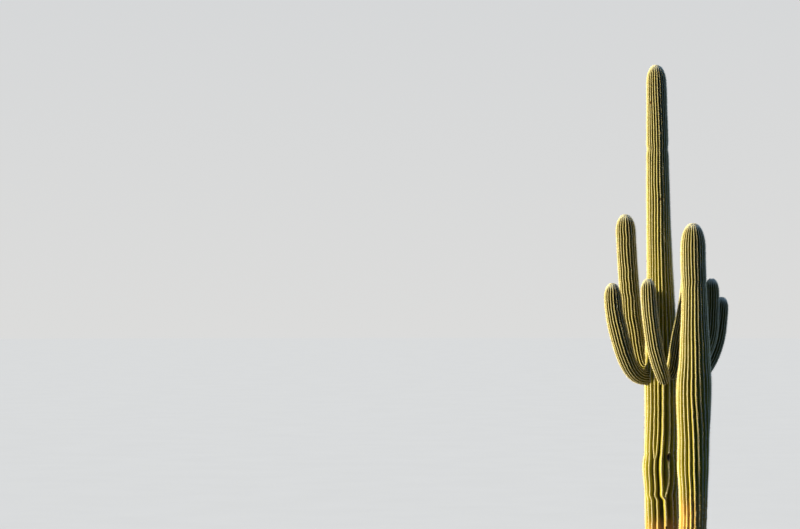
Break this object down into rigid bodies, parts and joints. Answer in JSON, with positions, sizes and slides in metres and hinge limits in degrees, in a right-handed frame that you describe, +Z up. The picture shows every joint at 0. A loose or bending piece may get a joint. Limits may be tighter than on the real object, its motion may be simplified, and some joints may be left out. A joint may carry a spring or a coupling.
{
  "type": "saguaro cactus",
  "caption": "Tall ribbed desert cactus with a straight main stem, a shorter stem from the same root and upswept arms, spiny all over and rooted in level ground.",
  "frame": {"origin": "middle of the main stem's flat cut at ground level", "axes": "+Z up, +X to the right in the view that shows best, +Y away from that view"},
  "size_m": [1.7212, 1.4283, 7.18],
  "materials": {
    "stem_skin": "waxy yellow-green ribbed skin, dull, with fine creases across the ribs and brown cork at the foot",
    "arm_skin": "waxy yellow-green ribbed skin, dull, turning tan towards the domed tips",
    "spines": "dry straw-coloured spines, golden at the tips of the limbs and grey lower down"
  },
  "bodies": {
    "root": {"main_stem": "stem_skin", "right_stem": "stem_skin", "left_outer_arm_elbow": "arm_skin", "left_outer_arm_upright": "arm_skin", "left_tall_arm_elbow": "arm_skin", "left_tall_arm_upright": "arm_skin", "front_arm_elbow": "arm_skin", "front_arm_upright": "arm_skin", "middle_right_arm_elbow": "arm_skin", "middle_right_arm_upright": "arm_skin", "right_inner_arm_elbow": "arm_skin", "right_inner_arm_upright": "arm_skin", "right_outer_arm_elbow": "arm_skin", "right_outer_arm_upright": "arm_skin"}
  },
  "joints": []
}
